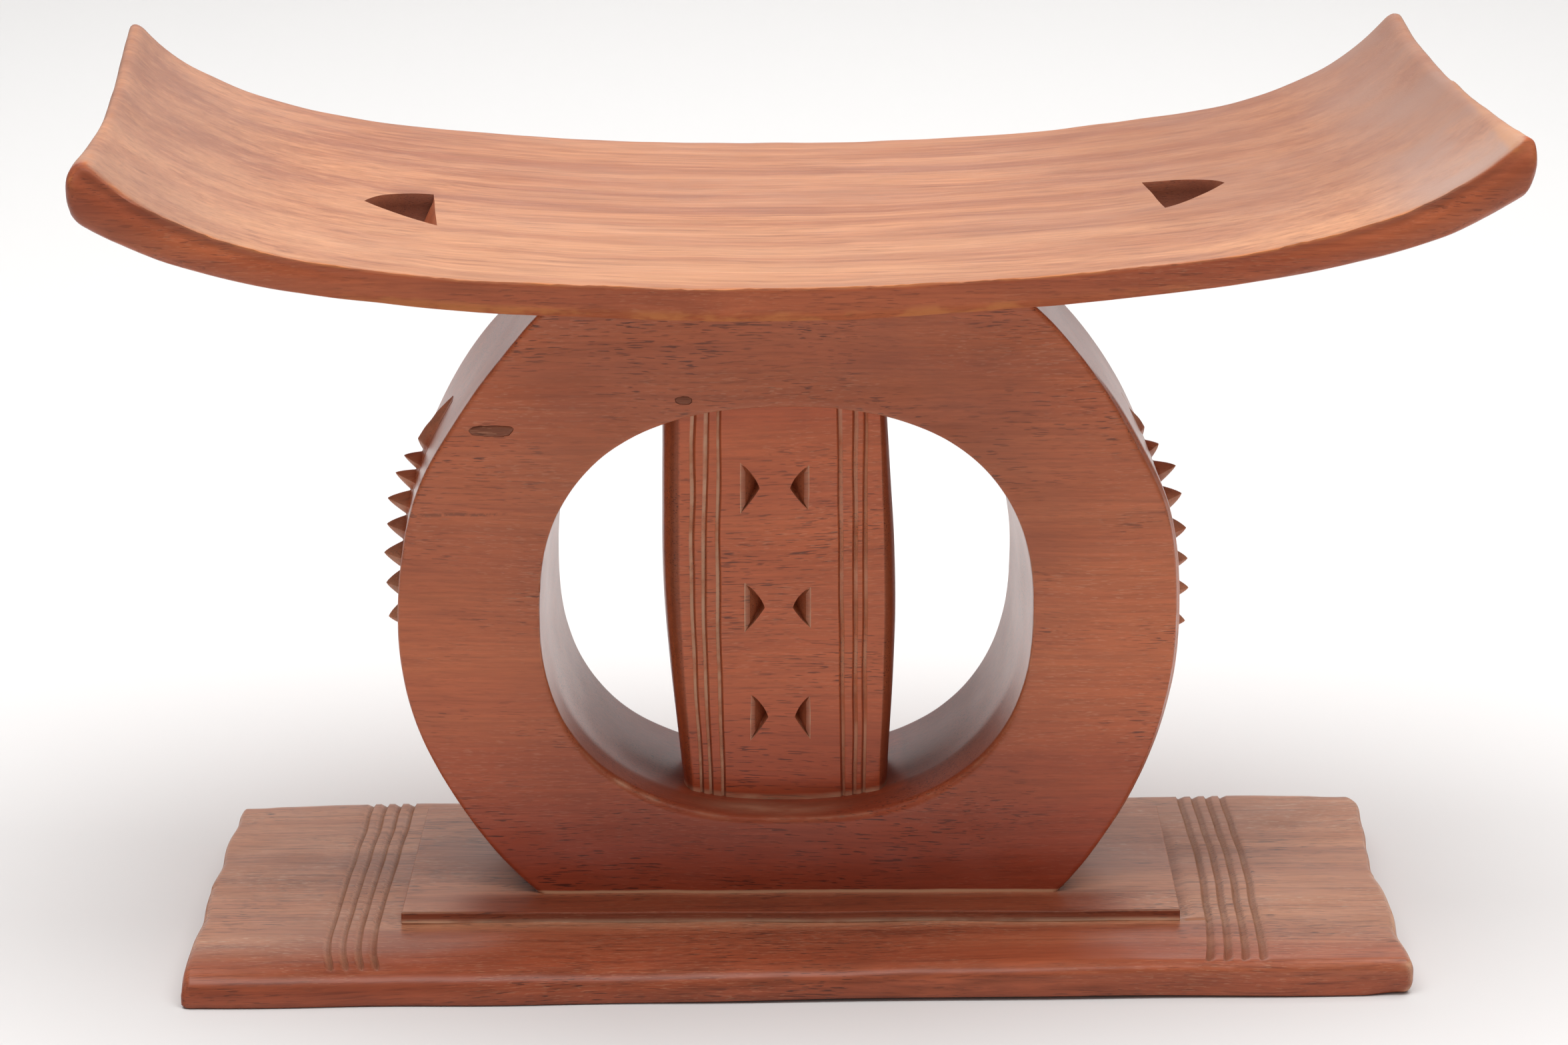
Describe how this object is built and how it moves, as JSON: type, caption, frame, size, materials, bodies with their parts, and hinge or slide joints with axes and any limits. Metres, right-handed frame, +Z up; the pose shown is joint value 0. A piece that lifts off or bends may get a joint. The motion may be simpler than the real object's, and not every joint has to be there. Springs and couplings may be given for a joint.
{
  "type": "carved wooden headrest",
  "caption": "Carved wooden headrest in the shape of a small stool: a curved seat on an open ring with a post inside it, standing on a flat base.",
  "frame": {"origin": "on the floor, under the middle of the seat, which is the middle of the object's box", "axes": "+Z up, +X along the seat to the right, -Y the front, which carries the wider part of the base"},
  "size_m": [0.4272, 0.2092, 0.2725],
  "materials": {
    "seat_wood": "satin, worn lighter",
    "ring_wood": "satin",
    "base_wood": "satin, greyer on top",
    "crest_wood": "matt, knife-cut",
    "filler_wood": "matt"
  },
  "bodies": {
    "root": {"seat": "seat_wood", "ring": "ring_wood", "centre_post": "ring_wood", "base_pad": "base_wood", "base_slab": "base_wood", "left_crest": "crest_wood", "right_crest": "crest_wood", "oval_filler": "filler_wood", "long_filler": "filler_wood"}
  },
  "joints": []
}
